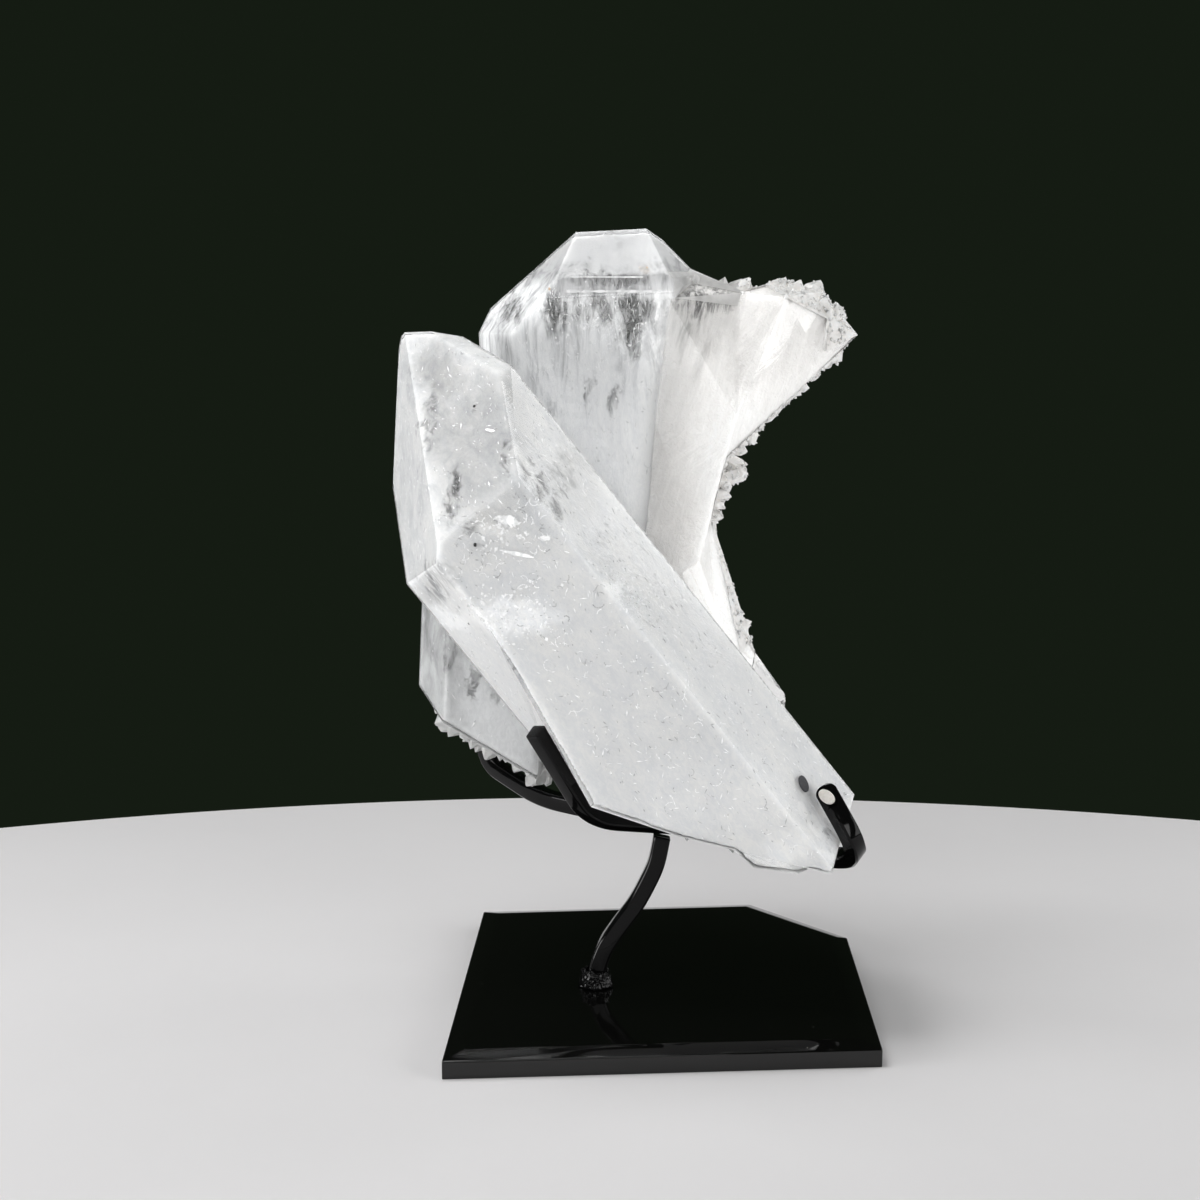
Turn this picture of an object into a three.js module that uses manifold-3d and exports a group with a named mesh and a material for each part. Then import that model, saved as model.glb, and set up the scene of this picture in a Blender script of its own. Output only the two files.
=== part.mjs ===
import * as THREE from 'three';
import { ConvexGeometry } from 'three/addons/geometries/ConvexGeometry.js';
import { mergeVertices } from 'three/addons/utils/BufferGeometryUtils.js';
import Module from 'manifold-3d';

// A quartz cluster held in a black metal stand: millimetres, +Z up, the viewer in front on -Y.
// The origin is on the underside of the base plate, near its middle.

// Base plate: five sides, the rear right corner cut off, the top edge bevelled all round.
const PLATE_CORNERS = [
  [-76, -84],
  [76, -73.5],
  [79.5, 43],
  [43, 87],
  [-72, 77],
];
const PLATE_HEIGHT = 8;
const BEVEL_WIDTH = 7;
const BEVEL_HEIGHT = 1.5;

// Quarter inch square bar, its long edges a little softened.
const BAR_SIZE = 6.35;
const BAR_SOFTENING = 0.7;
const BEND_RADIUS = 11;
const BAR_STEPS = 40;
const DISC_SIDES = 28;
const HOOK_STEPS = 60;
// Pieces that touch stand this far apart.
const GAP = 0.3;

// Stem, from the plate up to the arms.
const STEM_LINE = [
  [-23.5, -15, PLATE_HEIGHT + GAP],
  [-23.5, -15, 11],
  [-22.9, -15, 15],
  [-20.3, -15, 22.6],
  [-15, -14.6, 30.9],
  [-8.8, -14.3, 39.5],
  [-4.5, -14, 47.3],
  [-1, -14, 55.4],
  [1.2, -14, 65.8],
];

// Arms, each from the head of the stem to its free end.
const FRONT_ARM_LINE = [
  [5, -14, 70.4],
  [-25.5, -16.5, 73],
  [-45.1, -34.4, 110.4],
];
const REAR_ARM_LINE = [
  [-5, -7.6, 70],
  [-45, 24, 70.5],
  [-69, 55, 78],
  [-70, 56, 112],
];
const RIGHT_ARM_LINE = [
  [9.6, -8.6, 68.6],
  [24, 5, 61],
  [52, -1, 55.5],
  [70.7, -18, 58],
  [70.1, -44.6, 70.1],
  [57.9, -38.3, 91.5],
];
// Turn of the bar about its own length, in degrees, so that a flat lies on the crystal's face.
const FRONT_ARM_TURN = 34;
const REAR_ARM_TURN = 0;
const RIGHT_ARM_TURN = 57;

// Weld bead around the foot of the stem.
const WELD_RADIUS = 6.6;
const WELD_HEIGHT = 6.5;
// Its outline: share of the radius, then share of the height.
const WELD_OUTLINE = [
  [0, 0],
  [1, 0],
  [1, 0.12],
  [0.93, 0.37],
  [0.8, 0.65],
  [0.72, 1],
  [0, 1],
];

// Flat seat cut on the front corner of the right arm's end, for the pale oval pad. The end is rounded.
const SEAT_FACES = [-0.336, -0.94, 0];
const SEAT_DEPTH = 1.5;
const SEAT_LENGTH = 8.4;
const NOSE_RADIUS = 4.3;
const PAD = { length: 6.6, width: 4.5, thickness: 0.8, fromEnd: 4.2, spin: 165 };

// Grey oval dot stuck on the right wall of the front crystal, beside the pad.
const DOT = {
  length: 6.4,
  width: 4.6,
  thickness: 0.8,
  centre: [51.2, -37.5, 91.9],
  faces: [0.651, -0.54, 0.533],
  spin: 12,
};

// Quartz: the slopes of a point lean in at this angle to the crystal's length.
const SLOPE_ANGLE = 38.2;

// Each crystal is measured from the line along its middle. walls are the distances to its six long
// faces, the first facing the viewer and the others every 60 degrees to the right of it. slopes are
// the depths below the apex at which the six faces of the point cross that line. Cuts end it.
const FRONT_CRYSTAL = {
  apex: [-97, 4, 251],
  axis: [-0.625, 0.017, 0.781],
  turn: -2.7,
  walls: [51, 33.3, 15.4, 15, 38.1, 53.5],
  slopes: [3.1, -7.5, -4, -8, -6.6, 5],
  cuts: [
    { faces: [-0.337, 0.1, -1], through: [4.2, -49, 76.2] },
    { faces: [-0.241, 0.1, -1], through: [4.2, -49, 76.2] },
    { faces: [0.93, -0.2, -0.25], through: [66.3, -30, 70] },
  ],
};
const REAR_CRYSTAL = {
  apex: [-23, 34, 307.7],
  axis: [-0.048, -0.019, 0.999],
  turn: -3.5,
  walls: [19.6, 34, 36, 25, 46.7, 39.3],
  slopes: [8.7, -7.1, -2.9, 25.5, -15, 3.4],
  cuts: [{ faces: [-0.2, 0.15, -1], through: [-20, 34, 92] }],
};
const LEFT_CRYSTAL = {
  apex: [-60, 26, 192],
  axis: [0.05, 0, 1],
  turn: 0,
  walls: [23, 28, 28, 24, 23.5, 26.5],
  slopes: [0, 3, 0, 4, 0, 2],
  cuts: [{ faces: [-0.62, 0.2, -1], through: [-60, 6, 92.5] }],
};
const SIDE_CRYSTAL = {
  apex: [50.5, 28, 101],
  axis: [0.58, 0, -0.81],
  turn: 10,
  walls: [5, 5, 4.5, 5, 6, 5],
  slopes: [0, 1, 2, 0, 1, 0],
  cuts: [{ faces: [-0.58, 0, 0.81], through: [26, 30, 135] }],
};
// The clear toe at the lower right end of the front crystal, by its corners.
const TOE = [
  [50, -47, 64],
  [61.3, -44, 61],
  [62.8, -33, 60.6],
  [65.5, -36, 72.5],
  [66.5, -31, 74],
  [52, -28, 65],
  [50, -44, 80],
  [58, -30, 80],
];
// A lip along the lower left edge of the front crystal, where its front face grew past its side.
const LIP = [
  [-66, -47, 159.5],
  [-25.2, -47.95, 86.1],
  [-1.8, -48.95, 78.3],
  [4.2, -49.15, 76.2],
  [12, -49.2, 95],
  [-48, -47.2, 160],
  [-63, -41.5, 158],
  [-22, -41, 88],
  [4.2, -41, 78.5],
  [8, -41, 92],
];
// A broken lump under the lower end of the front crystal.
const HEEL = [
  [25, -50.1, 71.4],
  [32.6, -50.3, 64.5],
  [48.2, -50.9, 62.5],
  [55, -49, 65.1],
  [28, -36, 71],
  [34, -36, 65],
  [50, -35, 63.5],
  [30, -48, 80],
  [52, -44, 80],
];

// The fan of milky crystals on the right is three broad blades, each given by its corners.
const MIDDLE_BLADE = [
  [3.5, 13.4, 265],
  [12.2, 27, 276.5],
  [32.8, 21, 267.5],
  [29.7, 13, 221],
  [16, 11, 167],
  [-1.5, 12.5, 220],
  [-7, 13, 150],
  [5, 46, 266],
  [33, 44, 262],
  [30, 42, 214],
  [17, 42, 160],
  [-7, 48, 148],
];
const RIGHT_BLADE = [
  [47.7, 16, 265.5],
  [29.7, 13.5, 221],
  [77.8, 36, 251.5],
  [63.7, 34, 268],
  [33.4, 26, 211],
  [31, 20, 267.5],
  [45.6, 34, 272],
  [20, 14, 200],
  [40, 50, 262],
  [68, 47, 254],
  [28, 44, 206],
];
const LOWER_BLADE = [
  [21.2, 24, 181],
  [39, 30, 128],
  [34.4, 20, 115],
  [16.5, 14, 120],
  [8, 15, 172],
  [18, 46, 176],
  [36, 44, 128],
  [28, 42, 108],
  [-10, 46, 112],
  [-4, 46, 175],
];

// Small crystals crowd along these edges: the line they stand on and the way they point.
const CRUSTS = [
  {
    line: [
      [4, 24, 270],
      [30, 24, 266],
      [46, 30, 267],
      [60, 33, 264],
      [69, 35, 256],
    ],
    points: [0.4, -0.05, 1],
    spread: 0.35,
    count: 16,
    size: [4.5, 8],
  },
  {
    line: [
      [70, 37, 247],
      [32, 28, 212],
      [31, 30, 200],
      [24, 29, 190],
      [19, 28, 174],
      [25, 29, 156],
      [36, 30, 132],
    ],
    points: [1, -0.15, -0.3],
    spread: 0.7,
    count: 42,
    size: [2.6, 5.6],
  },
  {
    line: [
      [-83, 18, 110],
      [-78, 14, 105],
      [-68, 12, 98],
      [-56, 11, 91],
      [-42, 12, 83],
    ],
    points: [-0.35, -0.25, -1],
    spread: 0.6,
    count: 22,
    size: [4, 8],
  },
  {
    line: [
      [8, -40, 78],
      [30, -42, 70],
      [50, -36, 67],
    ],
    points: [0.1, -0.3, -1],
    spread: 0.4,
    count: 6,
    size: [4, 7],
  },
];
const CRUST_SEED = 7;
// Shares of a small crystal's width: how far it stands out, how deep it is rooted, its walls and slopes.
const CRUST_STANDS_OUT = [0.9, 1.5];
const CRUST_ROOT = 2;
const CRUST_WALLS = [0.4, 0.6];
const CRUST_SLOPES = [0, 0.25];
const CRUST_DEPTHS = [-3, 5];

const wasm = await Module();
wasm.setup();

// A closed mesh as a solid that can be joined and cut.
function solid(geometry) {
  const bare = geometry.clone();
  bare.deleteAttribute('normal');
  bare.deleteAttribute('uv');
  const merged = mergeVertices(bare, 1e-3);
  return new wasm.Manifold(
    new wasm.Mesh({
      numProp: 3,
      vertProperties: new Float32Array(merged.attributes.position.array),
      triVerts: new Uint32Array(merged.index.array),
    }),
  );
}

function geometryOf(body) {
  const mesh = body.getMesh();
  const geometry = new THREE.BufferGeometry();
  geometry.setAttribute('position', new THREE.BufferAttribute(new Float32Array(mesh.vertProperties), 3));
  geometry.setIndex(new THREE.BufferAttribute(new Uint32Array(mesh.triVerts), 1));
  geometry.computeVertexNormals();
  return geometry;
}

function vector(values) {
  return new THREE.Vector3(...values);
}

// The flat face that looks along `normal` and passes through `point`.
function flat(normal, point) {
  return new THREE.Plane().setFromNormalAndCoplanarPoint(normal.clone().normalize(), point);
}

// The corners where three of the planes meet, on the inner side of all the others.
function corners(planes) {
  const found = [];
  const matrix = new THREE.Matrix3();
  const inside = (point) => planes.every((plane) => plane.distanceToPoint(point) < 1e-5);
  for (let i = 0; i < planes.length; i += 1) {
    for (let j = i + 1; j < planes.length; j += 1) {
      for (let k = j + 1; k < planes.length; k += 1) {
        const [a, b, c] = [planes[i].normal, planes[j].normal, planes[k].normal];
        matrix.set(a.x, a.y, a.z, b.x, b.y, b.z, c.x, c.y, c.z);
        if (Math.abs(matrix.determinant()) < 1e-6) continue;
        const point = new THREE.Vector3(-planes[i].constant, -planes[j].constant, -planes[k].constant);
        point.applyMatrix3(matrix.invert());
        const isNew = found.every((other) => other.distanceTo(point) > 1e-3);
        if (isNew && inside(point)) found.push(point);
      }
    }
  }
  return found;
}

// A quartz crystal: six walls, six slopes to the point, and the cuts at its foot.
function crystal({ apex, axis, turn, walls, slopes, cuts }) {
  const tip = vector(apex);
  const along = vector(axis).normalize();
  const front = new THREE.Vector3(0, -1, 0).projectOnPlane(along).normalize();
  const slope = THREE.MathUtils.degToRad(SLOPE_ANGLE);
  const planes = [];
  walls.forEach((distance, i) => {
    const angle = THREE.MathUtils.degToRad(turn + 60 * i);
    const out = front.clone().applyAxisAngle(along, angle);
    planes.push(flat(out, tip.clone().addScaledVector(out, distance)));
    const up = out.clone().multiplyScalar(Math.cos(slope)).addScaledVector(along, Math.sin(slope));
    planes.push(flat(up, tip.clone().addScaledVector(along, -slopes[i])));
  });
  cuts.forEach(({ faces, through }) => planes.push(flat(vector(faces), vector(through))));
  return new ConvexGeometry(corners(planes));
}

// A steady stream of numbers from 0 to 1.
function randomFrom(seed) {
  let state = seed;
  return () => {
    state = (state + 0x6d2b79f5) | 0;
    let t = Math.imul(state ^ (state >>> 15), 1 | state);
    t = (t + Math.imul(t ^ (t >>> 7), 61 | t)) ^ t;
    return ((t ^ (t >>> 14)) >>> 0) / 4294967296;
  };
}

// The small crystals of one crust, rooted a little below its line.
function crust({ line, points, spread, count, size }, random) {
  const path = new THREE.CurvePath();
  for (let i = 1; i < line.length; i += 1) {
    path.add(new THREE.LineCurve3(vector(line[i - 1]), vector(line[i])));
  }
  const between = (low, high) => low + (high - low) * random();
  const pieces = [];
  for (let i = 0; i < count; i += 1) {
    const width = between(...size);
    const axis = vector(points).normalize();
    axis.x += between(-spread, spread);
    axis.y += between(-spread, spread);
    axis.z += between(-spread, spread);
    axis.normalize();
    const root = path.getPoint((i + random()) / count);
    root.y += between(...CRUST_DEPTHS);
    const tip = root.clone().addScaledVector(axis, width * between(...CRUST_STANDS_OUT));
    const foot = root.clone().addScaledVector(axis, -width * CRUST_ROOT);
    pieces.push(
      crystal({
        apex: tip.toArray(),
        axis: axis.toArray(),
        turn: between(0, 60),
        walls: Array.from({ length: 6 }, () => width * between(...CRUST_WALLS)),
        slopes: Array.from({ length: 6 }, () => width * between(...CRUST_SLOPES)),
        cuts: [{ faces: axis.clone().negate().toArray(), through: foot.toArray() }],
      }),
    );
  }
  return pieces;
}

// Everything that grew together is one solid.
function clusterGeometry() {
  const large = [FRONT_CRYSTAL, REAR_CRYSTAL, LEFT_CRYSTAL, SIDE_CRYSTAL].map(crystal);
  const blades = [TOE, LIP, HEEL, MIDDLE_BLADE, RIGHT_BLADE, LOWER_BLADE].map((list) => {
    return new ConvexGeometry(list.map(vector));
  });
  const random = randomFrom(CRUST_SEED);
  const small = CRUSTS.flatMap((edge) => crust(edge, random));
  return geometryOf(
    [...large, ...blades, ...small].map(solid).reduce((whole, piece) => whole.add(piece)),
  );
}

// The plate's outline drawn in by `distance` on every side.
function drawnIn(outline, distance) {
  const sides = outline.map(([x, y], i) => {
    const [nextX, nextY] = outline[(i + 1) % outline.length];
    const length = Math.hypot(nextX - x, nextY - y);
    const inward = [-(nextY - y) / length, (nextX - x) / length];
    return { inward, reach: inward[0] * x + inward[1] * y + distance };
  });
  return sides.map((side, i) => {
    const before = sides[(i + sides.length - 1) % sides.length];
    const [a, b] = before.inward;
    const [c, d] = side.inward;
    const scale = a * d - b * c;
    return [(before.reach * d - b * side.reach) / scale, (a * side.reach - before.reach * c) / scale];
  });
}

function plateGeometry() {
  const shoulder = PLATE_HEIGHT - BEVEL_HEIGHT;
  const outer = PLATE_CORNERS.flatMap(([x, y]) => [vector([x, y, 0]), vector([x, y, shoulder])]);
  const top = drawnIn(PLATE_CORNERS, BEVEL_WIDTH).map(([x, y]) => vector([x, y, PLATE_HEIGHT]));
  return new ConvexGeometry([...outer, ...top]);
}

// The section of the bar, turned about its middle.
function barSection(size, turnDegrees) {
  const half = size / 2;
  const flatHalf = half - BAR_SOFTENING;
  const turn = THREE.MathUtils.degToRad(turnDegrees);
  const middle = new THREE.Vector2();
  const outline = [
    [half, -flatHalf],
    [half, flatHalf],
    [flatHalf, half],
    [-flatHalf, half],
    [-half, flatHalf],
    [-half, -flatHalf],
    [-flatHalf, -half],
    [flatHalf, -half],
  ];
  return new THREE.Shape(outline.map(([x, y]) => new THREE.Vector2(x, y).rotateAround(middle, turn)));
}

// Straight runs joined by round bends.
function bentLine(line, radius) {
  const nodes = line.map(vector);
  const path = new THREE.CurvePath();
  let from = nodes[0];
  for (let i = 1; i < nodes.length - 1; i += 1) {
    const knee = nodes[i];
    const back = nodes[i - 1].clone().sub(knee);
    const on = nodes[i + 1].clone().sub(knee);
    const reach = Math.min(radius, back.length() * 0.45, on.length() * 0.45);
    const start = knee.clone().addScaledVector(back.normalize(), reach);
    const end = knee.clone().addScaledVector(on.normalize(), reach);
    path.add(new THREE.LineCurve3(from, start));
    path.add(new THREE.QuadraticBezierCurve3(start, knee, end));
    from = end;
  }
  path.add(new THREE.LineCurve3(from, nodes[nodes.length - 1]));
  return path;
}

function barGeometry(path, { size = BAR_SIZE, turn = 0, steps = BAR_STEPS } = {}) {
  return new THREE.ExtrudeGeometry(barSection(size, turn), { extrudePath: path, steps, bevelEnabled: false });
}

function bentBar(line, turn, steps) {
  return barGeometry(bentLine(line, BEND_RADIUS), { turn, steps });
}

function stemGeometry() {
  return barGeometry(new THREE.CatmullRomCurve3(STEM_LINE.map(vector)));
}

// The bead is a mound on the plate with the stem's own room taken out of it.
function weldGeometry() {
  const profile = WELD_OUTLINE.map(([out, up]) => new THREE.Vector2(out * WELD_RADIUS, up * WELD_HEIGHT));
  const [x, y, z] = STEM_LINE[0];
  const mound = new THREE.LatheGeometry(profile, 20).rotateX(Math.PI / 2).translate(x, y, z);
  const below = [x, y, z - WELD_HEIGHT];
  const path = new THREE.CatmullRomCurve3([below, ...STEM_LINE].map(vector));
  const room = barGeometry(path, { size: BAR_SIZE + 2 * GAP });
  return geometryOf(solid(mound).subtract(solid(room)));
}

// A thin oval disc with its flat side along `faces`, spun about that direction.
function discMesh({ length, width, thickness, centre, faces, spin }, name, finish) {
  const disc = new THREE.CylinderGeometry(length / 2, length / 2, thickness, DISC_SIDES);
  disc.scale(1, 1, width / length).rotateY(THREE.MathUtils.degToRad(spin));
  const mesh = meshOf(disc, name, finish);
  mesh.position.copy(vector(centre));
  mesh.quaternion.setFromUnitVectors(new THREE.Vector3(0, 1, 0), vector(faces).normalize());
  return mesh;
}

// Directions at the right arm's free end: along the bar, out through its front corner, and across.
function seatFrame() {
  const [knee, end] = RIGHT_ARM_LINE.slice(-2).map(vector);
  const along = end.clone().sub(knee).normalize();
  const out = vector(SEAT_FACES).projectOnPlane(along).normalize();
  const across = new THREE.Vector3().crossVectors(out, along);
  return { end, along, out, across };
}

function rightArmGeometry() {
  const bar = bentBar(RIGHT_ARM_LINE, RIGHT_ARM_TURN, HOOK_STEPS);
  const { end, along, out, across } = seatFrame();
  const axes = new THREE.Matrix4().makeBasis(across, out, along);
  const block = new THREE.BoxGeometry(BAR_SIZE * 2, BAR_SIZE, SEAT_LENGTH * 2);
  const blockCentre = end.clone().addScaledVector(out, SEAT_DEPTH + BAR_SIZE / 2);
  block.applyMatrix4(axes).translate(...blockCentre.toArray());
  const noseCentre = end.clone().addScaledVector(along, -NOSE_RADIUS);
  const corner = new THREE.BoxGeometry(BAR_SIZE * 2, BAR_SIZE * 2, NOSE_RADIUS * 2);
  const nose = new THREE.CylinderGeometry(NOSE_RADIUS, NOSE_RADIUS, BAR_SIZE * 3, DISC_SIDES);
  corner.translate(0, 0, NOSE_RADIUS).applyMatrix4(axes).translate(...noseCentre.toArray());
  nose.applyMatrix4(axes).translate(...noseCentre.toArray());
  const waste = solid(corner).subtract(solid(nose));
  return geometryOf(solid(bar).subtract(solid(block)).subtract(waste));
}

// The pad lies on the seat, a hair's breadth off it.
function padPlace() {
  const { end, along, out } = seatFrame();
  const lift = SEAT_DEPTH + GAP + PAD.thickness / 2;
  const centre = end.addScaledVector(along, -PAD.fromEnd).addScaledVector(out, lift);
  return { ...PAD, centre: centre.toArray(), faces: out.toArray() };
}

function meshOf(geometry, name, finish) {
  const mesh = new THREE.Mesh(geometry, new THREE.MeshStandardMaterial(finish));
  mesh.name = name;
  return mesh;
}

const plateEnamel = { color: 0x060606, roughness: 0.08, metalness: 0 };
const barEnamel = { color: 0x0b0b0c, roughness: 0.22, metalness: 0 };
const weldEnamel = { color: 0x0d0d0e, roughness: 0.3, metalness: 0 };
const paleRubber = { color: 0xe2ded8, roughness: 0.5, metalness: 0 };
const greyFelt = { color: 0x4b4c50, roughness: 0.9, metalness: 0 };
const quartz = { color: 0xe6e8e6, roughness: 0.12, metalness: 0 };

const stand = new THREE.Group();
stand.add(
  meshOf(plateGeometry(), 'base_plate', plateEnamel),
  meshOf(stemGeometry(), 'stem', barEnamel),
  meshOf(weldGeometry(), 'foot_weld', weldEnamel),
  meshOf(bentBar(FRONT_ARM_LINE, FRONT_ARM_TURN), 'front_arm', barEnamel),
  meshOf(bentBar(REAR_ARM_LINE, REAR_ARM_TURN), 'rear_arm', barEnamel),
  meshOf(rightArmGeometry(), 'right_arm', barEnamel),
  discMesh(padPlace(), 'end_pad', paleRubber),
);

const specimen = new THREE.Group();
specimen.add(meshOf(clusterGeometry(), 'quartz_cluster', quartz), discMesh(DOT, 'grey_dot', greyFelt));

const object = new THREE.Group();
object.add(stand, specimen);

export default object;
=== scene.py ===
# %% [markdown]
# # A quartz cluster on a black stand
#
# The real thing is a fist of quartz points that grew together, cradled by bent square bars on a bevelled
# plate. The measured model comes in first and never moves. Every piece below is built around it, in metres,
# with +Z up and the viewer in front on -Y.

# %% Load the measured model
import math
import random
from itertools import combinations

import bmesh
import bpy
import numpy as np
from mathutils import Matrix, Vector, noise


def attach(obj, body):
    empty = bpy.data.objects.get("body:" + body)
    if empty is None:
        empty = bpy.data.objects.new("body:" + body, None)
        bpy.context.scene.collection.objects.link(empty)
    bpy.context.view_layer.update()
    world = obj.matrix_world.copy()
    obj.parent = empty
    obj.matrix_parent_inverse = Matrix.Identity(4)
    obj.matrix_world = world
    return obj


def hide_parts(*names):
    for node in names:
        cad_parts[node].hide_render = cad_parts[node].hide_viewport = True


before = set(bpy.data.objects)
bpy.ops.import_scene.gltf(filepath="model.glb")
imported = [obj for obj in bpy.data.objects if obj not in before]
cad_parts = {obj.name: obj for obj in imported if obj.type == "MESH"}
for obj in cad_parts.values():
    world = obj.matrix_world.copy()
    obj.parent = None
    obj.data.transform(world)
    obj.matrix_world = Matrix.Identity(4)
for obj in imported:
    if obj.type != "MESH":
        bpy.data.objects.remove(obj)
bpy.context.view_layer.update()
MM = 0.001
print("nodes:", sorted(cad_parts))

# %% [markdown]
# ## Where the viewer stands
#
# The plate's edges and the far rim of the table fix the camera: a little left of the middle, about 25 cm
# above the table, tilted slightly down. A 54 mm lens on a 36 mm sensor gives the same perspective.

# %% Camera
scene = bpy.context.scene
view = bpy.data.cameras.new("viewer")
view.lens = 54
view.sensor_width = 36
viewer = bpy.data.objects.new("viewer", view)
viewer.location = Vector((-22, -668, 251.5)) * MM
viewer.rotation_euler = (math.radians(90 - 8.375), 0, 0)
scene.collection.objects.link(viewer)
scene.camera = viewer
print("camera height mm:", round(viewer.location.z / MM))

# %% [markdown]
# ## Table and light
#
# Milky quartz only glows when broad light falls on it from above and from the sides, and it only looks
# clear where something dark stands behind it. So the pale round floor ends close behind the stand, the
# surroundings are nearly black, and large soft lamps hang above and to both sides.

# %% Floor, surroundings and lamps
def link_nodes(tree, kind, settings=(), **inputs):
    """Adds one shader node. Inputs are plain values or the sockets of other nodes."""
    node = tree.nodes.new("ShaderNode" + kind)
    for key, value in dict(settings).items():
        setattr(node, key, value)
    for key, value in inputs.items():
        socket = node.inputs[int(key[1:])] if key[0] == "i" and key[1:].isdigit() else node.inputs[key.replace("_", " ")]
        if isinstance(value, bpy.types.NodeSocket):
            tree.links.new(value, socket)
        else:
            socket.default_value = value
    return node


def new_finish(name):
    """An empty material: its node tree, its output and the place of each point in the part's own frame."""
    finish = bpy.data.materials.new(name)
    finish.use_nodes = True
    tree = finish.node_tree
    tree.nodes.clear()
    out = tree.nodes.new("ShaderNodeOutputMaterial")
    place = tree.nodes.new("ShaderNodeTexCoord").outputs["Object"]
    return finish, tree, out, place


def ramp(tree, value, low, high, to_low=0.0, to_high=1.0):
    """Maps low..high smoothly to to_low..to_high."""
    node = link_nodes(tree, "MapRange", {"interpolation_type": "SMOOTHSTEP"}, Value=value)
    for index, number in enumerate((low, high, to_low, to_high), 1):
        node.inputs[index].default_value = number
    return node.outputs[0]


def cloud(tree, vector, scale, detail=4.0, rough=0.55, twist=0.0, kind="FBM"):
    """A noise pattern; scale is in lumps per metre."""
    node = link_nodes(tree, "TexNoise", {"noise_type": kind}, Vector=vector, Scale=scale, Detail=detail,
                      Roughness=rough, Distortion=twist)
    return node.outputs[0]


def maths(tree, operation, a, b=0.0, clamp=False):
    node = link_nodes(tree, "Math", {"operation": operation, "use_clamp": clamp}, i0=a, i1=b)
    return node.outputs[0]


def two_tone(tree, share, dark, light):
    node = link_nodes(tree, "Mix", {"data_type": "RGBA"}, i0=share)
    for socket, colour in ((node.inputs[6], dark), (node.inputs[7], light)):
        socket.default_value = (*colour, 1)
    return node.outputs[2]


FLOOR_CENTRE = Vector((0, -605, 0)) * MM
FLOOR_RADIUS = 901 * MM
floor_mesh = bpy.data.meshes.new("floor")
shape = bmesh.new()
bmesh.ops.create_circle(shape, cap_ends=True, segments=256, radius=FLOOR_RADIUS,
                        matrix=Matrix.Translation(FLOOR_CENTRE))
shape.to_mesh(floor_mesh)
shape.free()
floor = bpy.data.objects.new("floor", floor_mesh)
scene.collection.objects.link(floor)
paper, tree, out, place = new_finish("pale_floor")
tone = two_tone(tree, cloud(tree, place, 9), (0.77, 0.757, 0.765), (0.81, 0.797, 0.805))
sheet = link_nodes(tree, "BsdfPrincipled", Base_Color=tone, Roughness=0.75)
tree.links.new(sheet.outputs[0], out.inputs[0])
floor_mesh.materials.append(paper)

surroundings = bpy.data.worlds.new("surroundings")
surroundings.use_nodes = True
surroundings.node_tree.nodes["Background"].inputs[0].default_value = (0.0075, 0.0112, 0.0065, 1)
surroundings.node_tree.nodes["Background"].inputs[1].default_value = 1.0
scene.world = surroundings


def lamp(name, place_mm, aim_mm, size_mm, watts, tint=(1, 1, 1)):
    """A flat soft lamp that looks at a point."""
    data = bpy.data.lights.new(name, "AREA")
    data.shape = "RECTANGLE"
    data.size, data.size_y = (side * MM for side in size_mm)
    data.energy = watts
    data.color = tint
    thing = bpy.data.objects.new(name, data)
    thing.location = Vector(place_mm) * MM
    aim = Vector(aim_mm) * MM - thing.location
    thing.rotation_euler = aim.to_track_quat("-Z", "Y").to_euler()
    scene.collection.objects.link(thing)
    return thing


lamp("lamp_above", (-430, 60, 1080), (0, 0, 100), (540, 480), 6.0)
lamp("lamp_top", (-30, -210, 1150), (-20, 20, 280), (320, 260), 0.8)
lamp("lamp_key", (-620, -820, 900), (-20, 0, 150), (800, 700), 2.2)
lamp("lamp_front", (-40, -1300, 380), (-10, 0, 160), (800, 380), 2.4)
lamp("lamp_left", (-830, -330, 110), (-40, 0, 150), (420, 380), 5.4)
lamp("lamp_right", (800, -650, 240), (30, 0, 170), (420, 460), 2.8)
lamp("lamp_side", (820, -60, 260), (30, 20, 170), (420, 460), 1.8)
lamp("rim_left", (-750, 520, 620), (-20, 0, 170), (350, 700), 0.4)
lamp("rim_right", (780, 520, 620), (20, 0, 170), (350, 700), 1.8)
scene.view_settings.view_transform = "Standard"
scene.cycles.max_bounces = 12
scene.cycles.transmission_bounces = 10
scene.cycles.transparent_max_bounces = 18

# %% [markdown]
# ## Softened metal
#
# Bar stock and cut plate never have knife edges: paint pools on them and they catch a thin line of light.
# Each metal piece is a copy of its measured solid with its edges rounded, so it stays exactly in place.

# %% Helper: a copy of a measured solid with rounded edges
def add_piece(name, mesh, finish, stands_for=None):
    """Puts a mesh into the scene as a piece of the object."""
    piece = bpy.data.objects.new(name, mesh)
    scene.collection.objects.link(piece)
    mesh.materials.clear()
    mesh.materials.append(finish)
    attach(piece, "root")
    if stands_for:
        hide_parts(stands_for)
    return piece


def whole_solid(node):
    """The measured solid as an editable mesh with its flats as single faces."""
    solid = bmesh.new()
    solid.from_mesh(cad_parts[node].data)
    bmesh.ops.remove_doubles(solid, verts=solid.verts, dist=2e-6)
    bmesh.ops.dissolve_limit(solid, angle_limit=math.radians(0.4), verts=solid.verts, edges=solid.edges)
    bmesh.ops.recalc_face_normals(solid, faces=solid.faces)
    return solid


def round_edges(solid, width_mm, segments, sharper_than=20, mark=-1):
    sharp = [e for e in solid.edges if e.is_manifold and e.calc_face_angle(0) > math.radians(sharper_than)]
    if mark >= 0:
        sharp = [e for e in sharp if e.is_convex]
    bmesh.ops.bevel(solid, geom=sharp, offset=width_mm * MM, segments=segments, profile=0.5, affect="EDGES",
                    clamp_overlap=True, material=mark)


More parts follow.
